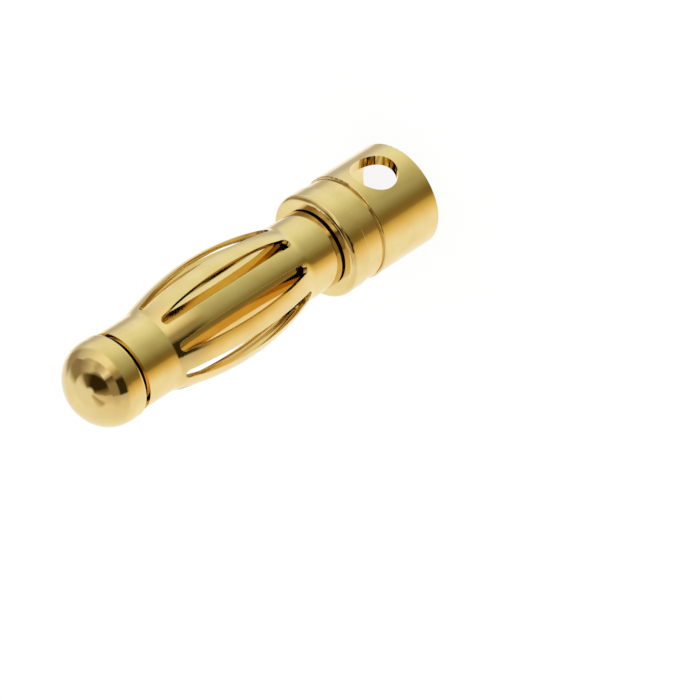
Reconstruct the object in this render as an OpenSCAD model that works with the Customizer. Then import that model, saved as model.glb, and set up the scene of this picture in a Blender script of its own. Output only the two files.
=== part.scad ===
// Male half of a bullet connector for a battery lead, 4 mm size, gold-plated brass.
// A turned plug carries a loose spring cage, rolled from slotted sheet, between its tip and its collar.
// The plug stands on the rim of its solder cup, tip up: +Z is its axis, the origin is the centre
// of the rim and the side hole of the cup faces -Y.

/* [Solder cup] */
// Outside diameter of the cup
cup_d = 5; // [4.8:0.05:6]
// Length of the cup, from its rim to the step
cup_len = 3.45; // [3.2:0.05:8]
// Diameter of the blind bore that takes the wire
bore_d = 4; // [3:0.05:4.2]
// Depth of the bore, from the rim to where the drill point begins
bore_depth = 3.9; // [3:0.05:4]
// Full angle of the drill point at the bottom of the bore
drill_angle = 118; // [110:1:150]
// Width of the 45 degree chamfer that leads the wire in
lead_in = 0.12; // [0.05:0.01:0.25]
// Radius of the cup's outer edges
cup_edge = 0.08; // [0.04:0.01:0.15]
// Diameter of the side hole that shows the solder
hole_d = 2.15; // [1:0.05:2.4]
// Height of the side hole's centre above the rim
hole_z = 1.88; // [1.6:0.02:2]

/* [Relief band and collar] */
// Diameter of the band between the cup and the collar
relief_d = 4.84; // [4.6:0.02:4.9]
// Length of the band
relief_len = 0.95; // [0.6:0.05:2]
// Width of the undercut at the step
undercut_w = 0.12; // [0.06:0.01:0.2]
// Depth of the undercut below the band
undercut_depth = 0.05; // [0.02:0.01:0.1]
// Diameter of the collar that the cage rests on
collar_d = 4.95; // [4.86:0.01:5.2]
// Length of the collar
collar_len = 1; // [0.6:0.05:2]
// Radius of the collar's front edge
collar_edge = 0.25; // [0.1:0.05:0.4]
// Radius of the collar's rear edge
collar_back_edge = 0.05; // [0.02:0.01:0.06]

/* [Spring cage] */
// Outside diameter of the cage's two rings
ring_d = 3.68; // [3.5:0.02:3.8]
// Outside diameter over the bowed leaves
bulge_d = 5.02; // [4.6:0.02:5.2]
// Length of the cage
cage_len = 11.55; // [11:0.05:14]
// Length over which the leaves bow out, with the bend at each end
bulge_len = 8.4; // [8:0.1:10]
// Radius of the bend between a ring and the leaves, at the middle of the sheet
bend_r = 1; // [0.5:0.1:2]
// Thickness of the sheet
sheet_t = 0.2; // [0.15:0.01:0.22]
// Number of leaves
leaves = 9; // [6:1:10]
// Width of a leaf
leaf_w = 0.82; // [0.7:0.02:0.9]
// Length of the slots between the leaves
slot_len = 7.5; // [6:0.1:8]
// Width of the open seam where the rolled sheet meets
seam_w = 0.15; // [0.1:0.01:0.18]
// Turn of the cage about the plug
cage_turn = 39.5; // [0:0.5:45]

/* [Fit of the cage] */
// Gap all round between the core and the cage's rings
core_clearance = 0.12; // [0.06:0.01:0.2]
// Gap between the collar and the cage
rear_play = 0.1; // [0.05:0.01:0.3]
// Gap between the cage and the tip
front_play = 0.22; // [0.05:0.01:0.3]

/* [Tip] */
// Largest diameter of the tip
tip_d = 3.9; // [3.82:0.02:3.96]
// Length of the tip
tip_len = 2.38; // [2:0.02:4]
// Length of the domed part of the tip
dome_len = 1.72; // [1.65:0.01:1.78]
// Radius of the dome's shoulder
dome_shoulder_r = 1.5; // [1.4:0.05:1.6]
// Radius of the tip's rear edge
tip_edge = 0.2; // [0.1:0.05:0.3]

/* [Hidden] */
$fn = 96;
plate_gold = "#dcc67e";
spring_gold = "#e2cb80";
overlap = 0.01;
clear = 1;

relief_z = cup_len;
collar_z = relief_z + relief_len;
core_z = collar_z + collar_len;
core_d = ring_d - 2 * (sheet_t + core_clearance);
cage_z = core_z + rear_play;
tip_z = cage_z + cage_len + front_play;

ring_mid_r = (ring_d - sheet_t) / 2;
bulge_mid_r = (bulge_d - sheet_t) / 2;
bow_rise = bulge_mid_r - ring_mid_r;
arcs_r = (pow(bow_rise, 2) + pow(bulge_len / 2, 2)) / (2 * bow_rise);
bow_r = arcs_r - bend_r;
bow_angle = asin(bulge_len / 2 / arcs_r);
bow_x = bulge_mid_r - bow_r;
bend_x = ring_mid_r + bend_r;
bow_steps = 12;
bend_steps = 3;
slot_angle = 180 / leaves;
slot_apex_r = leaf_w / 2 / sin(slot_angle);
slot_end_r = (ring_mid_r - slot_apex_r) * sin(slot_angle);

// Half-section of one turned length, with its edges rounded.
module turned_length(z, length, r, lower_edge = 0, upper_edge = 0) {
    translate([0, z]) {
        square([r - lower_edge, length / 2 + overlap]);
        translate([0, length / 2]) square([r - upper_edge, length / 2]);
        translate([0, lower_edge]) square([r, length - lower_edge - upper_edge]);
        if (lower_edge > 0) translate([r - lower_edge, lower_edge]) circle(lower_edge);
        if (upper_edge > 0) translate([r - upper_edge, length - upper_edge]) circle(upper_edge);
    }
}

// Half-section of the tip: a short land with a rounded rear edge, then a dome of two tangent
// arcs, a tight one at the shoulder and a flatter one over the nose.
module tip_section() {
    tip_r = tip_d / 2;
    land_len = tip_len - dome_len;
    shoulder_x = tip_r - dome_shoulder_r;
    rise = dome_len - dome_shoulder_r;
    nose_drop = (pow(shoulder_x, 2) - pow(rise, 2)) / (2 * rise);
    nose_r = dome_len + nose_drop;
    nose_angle = atan2(shoulder_x, nose_drop);
    reach = 2 * nose_r;
    turned_length(0, land_len + overlap, tip_r, tip_edge, 0);
    translate([0, land_len]) {
        intersection() {
            translate([shoulder_x, 0]) circle(dome_shoulder_r);
            square([tip_r, dome_len]);
        }
        translate([0, -nose_drop]) intersection() {
            circle(nose_r);
            polygon([[0, 0], [0, reach], [reach * sin(nose_angle), reach * cos(nose_angle)]]);
        }
    }
}

module plug_section() {
    turned_length(0, cup_len, cup_d / 2, cup_edge, cup_edge);
    difference() {
        turned_length(relief_z - cup_edge, relief_len + cup_edge + overlap, relief_d / 2);
        translate([relief_d / 2 - undercut_depth, relief_z]) square([clear, undercut_w]);
    }
    turned_length(collar_z, collar_len, collar_d / 2, collar_back_edge, collar_edge);
    turned_length(core_z - overlap, tip_z - core_z + 2 * overlap, core_d / 2);
    translate([0, tip_z]) tip_section();
}

// Blind bore with a drill point and a lead-in chamfer at the rim.
module cup_bore() {
    point_len = bore_d / 2 / tan(drill_angle / 2);
    translate([0, 0, -clear]) cylinder(d = bore_d, h = bore_depth + clear);
    translate([0, 0, bore_depth - overlap]) cylinder(d1 = bore_d, d2 = 0, h = point_len);
    translate([0, 0, -overlap])
        cylinder(d1 = bore_d + 2 * (lead_in + overlap), d2 = bore_d, h = lead_in + overlap);
}

// One piece turned from bar: tip, core, collar, relief band and solder cup.
module plug_body() {
    color(plate_gold) difference() {
        rotate_extrude() plug_section();
        cup_bore();
        translate([0, 0, hole_z]) rotate([90, 0, 0]) cylinder(d = hole_d, h = cup_d);
    }
}

// Points along an arc, from its first step to its last.
function arc(centre, r, from, to, first, last, steps) =
    [for (i = [first:last]) let (a = from + (to - from) * i / steps) centre + r * [cos(a), sin(a)]];

// Line of one skin of the sheet, a given depth out from its middle: ring, bend, bow, bend, ring.
function skin(out) = concat(
    [[ring_mid_r + out, -cage_len / 2]],
    arc([bend_x, -bulge_len / 2], bend_r - out, 180, 180 - bow_angle, 0, bend_steps - 1, bend_steps),
    arc([bow_x, 0], bow_r + out, -bow_angle, bow_angle, 0, bow_steps, bow_steps),
    arc([bend_x, bulge_len / 2], bend_r - out, 180 + bow_angle, 180, 1, bend_steps, bend_steps),
    [[ring_mid_r + out, cage_len / 2]]);

// Half-section of the sheet, with the middle of the cage at the origin.
module cage_section() {
    inner = skin(-sheet_t / 2);
    polygon(concat(skin(sheet_t / 2), [for (i = [len(inner) - 1:-1:0]) inner[i]]));
}

// Gap between two leaves of even width. Its sides spread at the leaves' pitch as they leave the
// axis, and cones of the same spread round its two ends.
module leaf_slot() {
    spread = bulge_d;
    straight_len = slot_len - 2 * slot_end_r;
    translate([slot_apex_r, 0, 0]) {
        translate([0, 0, -straight_len / 2]) linear_extrude(straight_len)
            polygon([[0, 0], spread * [1, tan(slot_angle)], spread * [1, -tan(slot_angle)]]);
        for (side = [-1, 1])
            translate([0, 0, side * straight_len / 2]) rotate([0, 90, 0])
                cylinder(r1 = 0, r2 = spread * tan(slot_angle), h = spread);
    }
}

// One strip of slotted sheet, bowed and rolled round the core until its ends all but meet.
module spring_cage() {
    color(spring_gold) translate([0, 0, cage_z + cage_len / 2]) rotate([0, 0, cage_turn]) difference() {
        rotate_extrude() cage_section();
        for (i = [0:leaves - 1]) rotate([0, 0, (2 * i + 1) * slot_angle]) leaf_slot();
        rotate([0, 0, slot_angle]) translate([0, -seam_w / 2, -cage_len / 2 - clear])
            cube([bulge_d, seam_w, cage_len + 2 * clear]);
    }
}

plug_body();
spring_cage();
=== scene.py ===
import math

import bpy
from mathutils import Matrix, Vector


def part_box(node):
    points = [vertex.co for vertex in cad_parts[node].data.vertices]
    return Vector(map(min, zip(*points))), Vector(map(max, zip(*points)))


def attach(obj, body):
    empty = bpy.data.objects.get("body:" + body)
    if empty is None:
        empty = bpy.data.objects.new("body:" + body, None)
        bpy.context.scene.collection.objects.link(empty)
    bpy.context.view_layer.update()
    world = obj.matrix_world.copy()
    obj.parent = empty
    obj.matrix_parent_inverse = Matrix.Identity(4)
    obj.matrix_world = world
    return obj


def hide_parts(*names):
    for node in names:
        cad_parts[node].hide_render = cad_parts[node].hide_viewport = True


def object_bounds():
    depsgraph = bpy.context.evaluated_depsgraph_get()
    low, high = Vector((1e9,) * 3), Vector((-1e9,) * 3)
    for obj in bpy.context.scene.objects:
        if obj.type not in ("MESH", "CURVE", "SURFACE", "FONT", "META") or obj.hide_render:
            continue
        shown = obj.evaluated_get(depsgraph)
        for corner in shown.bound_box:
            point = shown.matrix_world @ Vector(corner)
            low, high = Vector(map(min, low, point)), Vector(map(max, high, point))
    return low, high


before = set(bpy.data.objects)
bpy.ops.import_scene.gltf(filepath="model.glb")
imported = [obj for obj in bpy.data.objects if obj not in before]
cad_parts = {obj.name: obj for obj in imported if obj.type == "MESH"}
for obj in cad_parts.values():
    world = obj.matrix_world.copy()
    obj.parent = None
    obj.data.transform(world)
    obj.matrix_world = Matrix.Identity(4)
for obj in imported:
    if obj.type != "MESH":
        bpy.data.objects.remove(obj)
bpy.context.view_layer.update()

MM = 0.001


# ---------------------------------------------------------------------------------------------
# Plug body. One piece turned from brass bar, from the domed tip to the solder cup, then plated
# with gold over nickel. The tool leaves fine rings round it, and the plating a slight grain.
# ---------------------------------------------------------------------------------------------

class Value:
    """A number in a node tree. Arithmetic on it adds Math nodes."""

    def __init__(self, socket):
        self.socket = socket

    def math(self, operation, *values):
        node = self.socket.id_data.nodes.new("ShaderNodeMath")
        node.operation = operation
        for entry, value in zip(node.inputs, values):
            feed(entry, value)
        return Value(node.outputs[0])

    def __add__(self, other): return self.math("ADD", self, other)
    def __radd__(self, other): return self.math("ADD", other, self)
    def __sub__(self, other): return self.math("SUBTRACT", self, other)
    def __rsub__(self, other): return self.math("SUBTRACT", other, self)
    def __mul__(self, other): return self.math("MULTIPLY", self, other)
    def __rmul__(self, other): return self.math("MULTIPLY", other, self)
    def __truediv__(self, other): return self.math("DIVIDE", self, other)
    def __rtruediv__(self, other): return self.math("DIVIDE", other, self)
    def __lt__(self, other): return self.math("LESS_THAN", self, other)
    def __gt__(self, other): return self.math("GREATER_THAN", self, other)
    def __abs__(self): return self.math("ABSOLUTE", self)

    def root(self): return self.math("SQRT", self)
    def sin(self): return self.math("SINE", self)
    def cos(self): return self.math("COSINE", self)
    def sign(self): return self.math("SIGN", self)
    def at_least(self, other): return self.math("MAXIMUM", self, other)

    def along(self, start, end):
        """0 before start, 1 after end, and evenly between them."""
        share = (self - start) / (end - start)
        return share.math("MINIMUM", share.at_least(0), 1)


def feed(entry, value):
    """Links a value to a socket, or writes a number, colour or vector in it."""
    if isinstance(value, Value):
        entry.id_data.links.new(value.socket, entry)
    else:
        entry.default_value = value


class Tree:
    """A node tree that is filled one node at a time."""

    def __init__(self, tree):
        self.tree = tree
        tree.nodes.clear()

    def add(self, kind, settings=None, inputs=None, output=0):
        """Adds a node with its settings, then the values or links of its sockets."""
        node = self.tree.nodes.new(kind)
        for name, setting in (settings or {}).items():
            if name == "stops":
                write_stops(node.color_ramp, setting)
            else:
                setattr(node, name, setting)
        for name, value in (inputs or {}).items():
            feed(node.inputs[name], value)
        return Value(node.outputs[output]) if node.outputs else node

    def split(self, vector):
        """The X, Y and Z of a vector."""
        x = self.add("ShaderNodeSeparateXYZ", inputs={0: vector})
        return [Value(socket) for socket in x.socket.node.outputs]

    def mix(self, share, first, second):
        """The first colour where share is 0, the second where it is 1."""
        factor, a, b, result = 0, 6, 7, 2
        return self.add("ShaderNodeMix", {"data_type": "RGBA"}, {factor: share, a: first, b: second}, result)


def write_stops(ramp, stops):
    """Sets a colour ramp's stops from (place, colour) pairs."""
    elements = ramp.elements
    while len(elements) < len(stops):
        elements.new(1)
    for element, (place, colour) in zip(elements, stops):
        element.position = place
    for element, (place, colour) in zip(elements, stops):
        element.color = (*colour, 1)


def plated_gold(name, deep, pale, grain, marks, mark_depth, roughness):
    """Gold plate with cloudy patches, a fine grain, and marks left by the tool or the rolls.

    marks gives how many marks lie in a millimetre along X, Y and Z."""
    material = bpy.data.materials.new(name)
    material.use_nodes = True
    tree = Tree(material.node_tree)

    def noise(per_mm, detail, vector=(1, 1, 1)):
        place = tree.add("ShaderNodeTexCoord", output="Object")
        scaled = tree.add("ShaderNodeVectorMath", {"operation": "MULTIPLY"}, {0: place, 1: Vector(vector) / MM})
        return tree.add("ShaderNodeTexNoise", inputs={"Vector": scaled, "Scale": per_mm, "Detail": detail})

    clouds = noise(0.9, 4).along(0.35, 0.65)
    peel = noise(grain, 2)
    tool_marks = noise(1, 3, marks)
    colour = tree.mix(clouds, (*deep, 1), (*pale, 1))
    peel_depth = 0.0006 * MM
    relief = peel * peel_depth / MM + tool_marks * mark_depth
    normal = tree.add("ShaderNodeBump", inputs={"Height": relief, "Distance": MM, "Strength": 1.0}, output="Normal")
    gold = tree.add("ShaderNodeBsdfPrincipled", inputs={
        "Base Color": colour,
        "Metallic": 1.0,
        "Roughness": roughness + 0.03 * tool_marks + 0.03 * clouds,
        "Normal": normal})
    tree.add("ShaderNodeOutputMaterial", inputs={"Surface": gold})
    return material


turned_gold = plated_gold(
    "turned gold plate", deep=(0.83, 0.63, 0.26), pale=(0.88, 0.7, 0.32), grain=7,
    marks=(0.15, 0.15, 14), mark_depth=0.0002, roughness=0.04)

plug_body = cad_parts["plug_body"]
for holder in plug_body.material_slots:
    holder.material = turned_gold


# ---------------------------------------------------------------------------------------------
# Spring cage. A strip of springy sheet has slots stamped in it, which leave nine leaves between
# two bands. It is bowed out, rolled into a tube round the plug's core, and gold plated.
# ---------------------------------------------------------------------------------------------

cage_low, cage_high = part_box("spring_cage")
cage_sizes = {
    "Leaves": 9,
    "Leaf width": 0.82 * MM,
    "Slot length": 7.5 * MM,
    "Seam": 0.15 * MM,
    "Length": cage_high.z - cage_low.z,
    "Middle height": (cage_high.z + cage_low.z) / 2,
    "Band radius": 1.74 * MM,
    "Bulge length": 8.4 * MM,
    "Bulge rise": 0.67 * MM,
    "Bend radius": 1 * MM,
    "Turn": math.radians(39.5),
}
sheet_t = 0.2 * MM
sheet_edge = 0.03 * MM

rolled_gold = plated_gold(
    "rolled gold plate", deep=(0.83, 0.63, 0.26), pale=(0.88, 0.7, 0.32), grain=6,
    marks=(9, 9, 0.4), mark_depth=0.0001, roughness=0.04)

# Rows of faces from the middle of a leaf to the end of the cage: leaf, rounded slot end, land
# beside it, bend, and band.
LEAF_ROWS, SLOT_END_ROWS, LAND_ROWS, BEND_ROWS, BAND_ROWS = 24, 6, 1, 4, 3
half_rows = LEAF_ROWS + SLOT_END_ROWS + LAND_ROWS + BEND_ROWS + BAND_ROWS
leaf_columns = 10

cage_nodes = bpy.data.node_groups.new("rolled cage", "GeometryNodeTree")
cage_tree = Tree(cage_nodes)
identifiers = {}
for name, size in cage_sizes.items():
    kind = "NodeSocketInt" if name == "Leaves" else "NodeSocketFloat"
    identifiers[name] = cage_nodes.interface.new_socket(name, in_out="INPUT", socket_type=kind).identifier
cage_nodes.interface.new_socket("Cage", in_out="OUTPUT", socket_type="NodeSocketGeometry")
given = cage_tree.add("NodeGroupInput").socket.node
leaves, leaf_w, slot_len, seam, length, middle, band_r, bulge_len, rise, bend_r, turn = (
    Value(socket) for socket in given.outputs[:len(cage_sizes)])

leaf = cage_tree.add("GeometryNodeMeshGrid", inputs={
    "Size X": 2.0, "Size Y": 2.0, "Vertices X": leaf_columns + 1, "Vertices Y": 2 * half_rows + 1})
copies = cage_tree.add("GeometryNodeDuplicateElements", {"domain": "INSTANCE"}, {
    0: cage_tree.add("GeometryNodeGeometryToInstance", inputs={0: leaf}), "Amount": leaves})
numbered = cage_tree.add(
    "GeometryNodeStoreNamedAttribute", {"domain": "INSTANCE", "data_type": "FLOAT"},
    {"Geometry": copies, "Name": "leaf", "Value": Value(copies.socket.node.outputs["Duplicate Index"])})
strip = cage_tree.add("GeometryNodeRealizeInstances", inputs={0: numbered})
number = cage_tree.add("GeometryNodeInputNamedAttribute", {"data_type": "FLOAT"}, {"Name": "leaf"})

# Place along the cage: v runs from the rear end to the front end, and the rows crowd at the
# slot ends and the bends.
across, v, flat = cage_tree.split(cage_tree.add("GeometryNodeInputPosition"))
pitch = 2 * math.pi / leaves
half_pitch = pitch * band_r / 2
slot_half_w = half_pitch - leaf_w / 2
bow_reach = (rise * rise + bulge_len * bulge_len / 4) / (2 * rise)
bow_r = bow_reach - bend_r
bow_end = bulge_len / 2 * bow_r / bow_reach
bow_angle = (bulge_len / 2 / bow_reach).math("ARCSINE", bulge_len / 2 / bow_reach)
row = abs(v) * half_rows
after_leaf = LEAF_ROWS + SLOT_END_ROWS
after_land = after_leaf + LAND_ROWS
after_bend = after_land + BEND_ROWS
slot_turn = row.along(LEAF_ROWS, after_leaf) * (math.pi / 2)
bend_left = (1 - row.along(after_land, after_bend)) * bow_angle
height = (
    (slot_len / 2 - slot_half_w) * row.along(0, LEAF_ROWS)
    + slot_half_w * slot_turn.sin()
    + (bow_end - slot_len / 2) * row.along(after_leaf, after_land)
    + bend_r * (bow_angle.sin() - bend_left.sin())
    + (length - bulge_len) / 2 * row.along(after_bend, half_rows))

# How far the sheet stands out there: the long bow of the leaf, then the bend down to the band.
on_bow = row < after_land + 0.5
bow = (bow_r * bow_r - height * height).root() - (bow_r - rise)
bend_side = (bulge_len / 2 - height).at_least(0)
bend = bend_r - (bend_r * bend_r - bend_side * bend_side).root()
stand_out = on_bow * bow + (1 - on_bow) * bend

# Place round the cage: each leaf fills its pitch less half a slot on either side, or half the
# seam where the two ends of the strip meet. A bowed leaf keeps the curve of the band's tube.
on_strip = number + (across + 1) / 2
by_seam = abs(on_strip - leaves / 2) > leaves / 2 - 0.5
gap = (slot_half_w * slot_turn.cos()).at_least(by_seam * seam / 2)
round_band = across * (half_pitch - gap) / band_r
curl = 1 * MM
with_band = height.along(slot_len / 2 - curl, slot_len / 2)
out = band_r * round_band.cos() + stand_out * (with_band * round_band).cos()
aside = band_r * round_band.sin() + stand_out * (with_band * round_band).sin()
bearing = turn + (number + 1) * pitch
place = cage_tree.add("ShaderNodeCombineXYZ", inputs={
    "X": out * bearing.cos() - aside * bearing.sin(),
    "Y": out * bearing.sin() + aside * bearing.cos(),
    "Z": middle + v.sign() * height})

rolled = cage_tree.add("GeometryNodeSetPosition", inputs={"Geometry": strip, "Position": place})
joined = cage_tree.add("GeometryNodeMergeByDistance", inputs={"Geometry": rolled, "Distance": 0.001 * MM})
smooth = cage_tree.add("GeometryNodeSetShadeSmooth", inputs={"Geometry": joined})
whole = cage_tree.add("GeometryNodeRealizeInstances", inputs={0: smooth})
plated = cage_tree.add("GeometryNodeSetMaterial", inputs={"Geometry": whole, "Material": rolled_gold})
cage_tree.add("NodeGroupOutput", inputs={"Cage": plated})

blank = bpy.data.objects.new("cage blank", bpy.data.meshes.new("cage blank"))
bpy.context.scene.collection.objects.link(blank)
roller = blank.modifiers.new("rolled cage", "NODES")
roller.node_group = cage_nodes
for name, size in cage_sizes.items():
    roller[identifiers[name]] = size
wall = blank.modifiers.new("sheet", "SOLIDIFY")
wall.thickness = sheet_t
wall.offset = 0
wall.use_even_offset = True
edges = blank.modifiers.new("stamped edges", "BEVEL")
edges.width = sheet_edge
edges.segments = 2
edges.limit_method = "ANGLE"
edges.angle_limit = math.radians(40)
edges.harden_normals = True

finished = blank.evaluated_get(bpy.context.evaluated_depsgraph_get())
cage = bpy.data.objects.new("rolled_spring_cage", bpy.data.meshes.new_from_object(finished))
bpy.context.scene.collection.objects.link(cage)
bpy.data.objects.remove(blank)
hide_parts("spring_cage")
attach(cage, "root")


# ---------------------------------------------------------------------------------------------
# Table. A white sheet under the plug, which keeps its soft shadow. Gold doesn't mirror it,
# because the light tent below stands for the whole room in the gold.
# ---------------------------------------------------------------------------------------------

table_w = 400 * MM
shadow_share = 0.1
plug_low, plug_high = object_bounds()

sheet = bpy.data.materials.new("white table")
sheet.use_nodes = True
sheet_tree = Tree(sheet.node_tree)
sheet_tree.add("ShaderNodeOutputMaterial", inputs={"Surface": sheet_tree.add("ShaderNodeMixShader", inputs={
    0: shadow_share,
    1: sheet_tree.add("ShaderNodeEmission", inputs={"Color": (1, 1, 1, 1), "Strength": 1.0}),
    2: sheet_tree.add("ShaderNodeBsdfDiffuse", inputs={"Color": (0.95, 0.95, 0.95, 1)})})})

corners = [(x * table_w / 2, y * table_w / 2, plug_low.z) for x, y in ((-1, -1), (1, -1), (1, 1), (-1, 1))]
table_mesh = bpy.data.meshes.new("table")
table_mesh.from_pydata(corners, [], [(0, 1, 2, 3)])
table_mesh.materials.append(sheet)
table = bpy.data.objects.new("table", table_mesh)
bpy.context.scene.collection.objects.link(table)
table.visible_glossy = False


# ---------------------------------------------------------------------------------------------
# Light tent. White cloth on most sides, with the dark openings for the camera and its stand.
# Gold mirrors four rings of it, and everything else sees plain white.
# ---------------------------------------------------------------------------------------------

view_bearing = math.radians(57.5)
view_elevation = math.radians(34)

white = (0.95, 0.97, 1.0)
pale = (0.87, 0.88, 0.92)
grey = (0.6, 0.58, 0.6)
brown = (0.3, 0.24, 0.14)
black = (0.03, 0.02, 0.005)

# Each stop is a bearing from the camera, in degrees, positive to the camera's left, and the
# colour of the cloth there. The rings lie at elevations of -33, 0, 30 and 60 degrees.
low_ring = [
    (-180, white), (-150, (1, 1, 1)), (-138, grey), (-124, grey), (-104, (0.85, 0.9, 0.96)),
    (-84, (0.92, 0.97, 0.98)), (-60, (0.87, 0.92, 0.83)), (-48, (0.8, 0.84, 0.7)),
    (-36, (0.7, 0.73, 0.57)), (-24, (0.58, 0.6, 0.43)), (-12, (0.5, 0.5, 0.33)),
    (0, (0.42, 0.4, 0.25)), (12, (0.3, 0.27, 0.13)), (22, (0.22, 0.17, 0.06)),
    (30, (0.22, 0.15, 0.05)), (38, (0.28, 0.19, 0.05)), (44, (0.57, 0.4, 0.12)),
    (54, (0.78, 0.6, 0.25)), (64, (0.92, 0.76, 0.48)), (76, (0.97, 0.9, 0.8)),
    (90, white), (130, (1, 1, 1)), (180, white)]
level_ring = [
    (-180, white), (-152, pale), (-140, (0.38, 0.3, 0.24)), (-120, (0.37, 0.32, 0.27)),
    (-105, (0.58, 0.57, 0.55)), (-88, (0.75, 0.73, 0.7)), (-72, (0.88, 0.87, 0.85)),
    (-55, (1, 1, 1)), (-28, (1, 1, 0.95)), (-14, (0.75, 0.68, 0.5)), (-3, (0.36, 0.3, 0.17)),
    (7, (0.3, 0.24, 0.13)), (15, black), (51, black), (54, (0.6, 0.52, 0.42)), (75, (0.82, 0.76, 0.65)),
    (100, (0.88, 0.86, 0.82)), (150, white), (180, white)]
raised_ring = [
    (-180, white), (-145, pale), (-128, brown), (-104, (0.28, 0.22, 0.16)),
    (-85, (0.42, 0.37, 0.3)), (-62, (0.68, 0.64, 0.55)), (-45, (0.5, 0.44, 0.34)),
    (-30, (0.65, 0.62, 0.56)), (-15, (1, 1, 1)), (-5, (0.5, 0.45, 0.4)), (0, (0.12, 0.08, 0.03)), (9, (0.2, 0.14, 0.09)),
    (18, brown), (50, brown), (54, (0.6, 0.5, 0.38)), (90, (0.86, 0.8, 0.72)),
    (135, (0.9, 0.9, 0.93)), (180, white)]
high_ring = [
    (-180, pale), (-128, pale), (-108, (0.72, 0.66, 0.6)), (-88, (0.2, 0.14, 0.07)),
    (-70, (0.12, 0.08, 0.04)), (-50, black), (20, black), (36, (0.18, 0.12, 0.05)),
    (50, (0.35, 0.26, 0.14)), (56, (0.68, 0.6, 0.48)), (75, (0.78, 0.7, 0.6)),
    (88, (0.45, 0.34, 0.22)), (105, (0.65, 0.57, 0.46)), (122, (0.9, 0.88, 0.86)), (180, pale)]

tent = bpy.data.worlds.new("light tent")
bpy.context.scene.world = tent
tent.use_nodes = True
sky = Tree(tent.node_tree)
toward = sky.add("ShaderNodeTexCoord", output="Generated")


def share_of(direction):
    """How much of the ray's direction lies along this one."""
    return sky.add("ShaderNodeVectorMath", {"operation": "DOT_PRODUCT"}, {0: toward, 1: direction}, "Value")


def ring(stops):
    """The colour of one ring of the tent at the ray's bearing."""
    stops = [((degrees + 180) / 360, colour) for degrees, colour in stops]
    return sky.add("ShaderNodeValToRGB", {"stops": stops}, {"Fac": from_camera / (2 * math.pi) + 0.5}, "Color")


to_camera = Vector((-math.cos(view_bearing), -math.sin(view_bearing), 0))
to_left = Vector((-math.sin(view_bearing), math.cos(view_bearing), 0))
from_camera = share_of(to_left)
from_camera = from_camera.math("ARCTAN2", from_camera, share_of(to_camera))
rise_to = share_of(Vector((0, 0, 1)))
elevation = rise_to.math("ARCSINE", rise_to) * (180 / math.pi)

cloth = sky.mix(elevation.along(-14, -6), ring(low_ring), ring(level_ring))
cloth = sky.mix(elevation.along(15, 20), cloth, ring(raised_ring))
cloth = sky.mix(elevation.along(48, 54), cloth, ring(high_ring))
cloth = sky.mix(elevation.along(79, 85), cloth, (*pale, 1))
mirrored = sky.add("ShaderNodeLightPath", output="Is Glossy Ray")
background = sky.add("ShaderNodeBackground", inputs={
    "Color": sky.mix(mirrored, (1, 1, 1, 1), cloth), "Strength": 1.0})
sky.add("ShaderNodeOutputWorld", inputs={"Surface": background})

lamp = bpy.data.lights.new("soft lamp", "SUN")
lamp.energy = 0.6
lamp.angle = math.radians(40)
lamp_head = bpy.data.objects.new("soft lamp", lamp)
lamp_head.rotation_euler = (math.radians(35), math.radians(-20), 0)
lamp_head.visible_glossy = False
bpy.context.scene.collection.objects.link(lamp_head)


# ---------------------------------------------------------------------------------------------
# Camera. It looks down on the standing plug from its side-hole side, and is rolled so that the
# tip points down to the left.
# ---------------------------------------------------------------------------------------------

camera_place = Vector((-74.43, -108.3, 95.37)) * MM
camera_roll = math.radians(-123.86)
sensor_w = 36
lens = 187.7

line_of_sight = Vector((
    math.cos(view_elevation) * math.cos(view_bearing),
    math.cos(view_elevation) * math.sin(view_bearing),
    -math.sin(view_elevation)))
level_right = line_of_sight.cross(Vector((0, 0, 1))).normalized()
level_up = level_right.cross(line_of_sight)
right = math.cos(camera_roll) * level_right + math.sin(camera_roll) * level_up
up = math.cos(camera_roll) * level_up - math.sin(camera_roll) * level_right

camera_data = bpy.data.cameras.new("camera")
camera_data.sensor_width = sensor_w
camera_data.lens = lens
camera_data.clip_start = 10 * MM
camera_data.clip_end = 1000 * MM
camera = bpy.data.objects.new("camera", camera_data)
camera.matrix_world = Matrix.Translation(camera_place) @ Matrix((right, up, -line_of_sight)).transposed().to_4x4()
bpy.context.scene.collection.objects.link(camera)
bpy.context.scene.camera = camera
bpy.context.scene.view_settings.view_transform = "Standard"
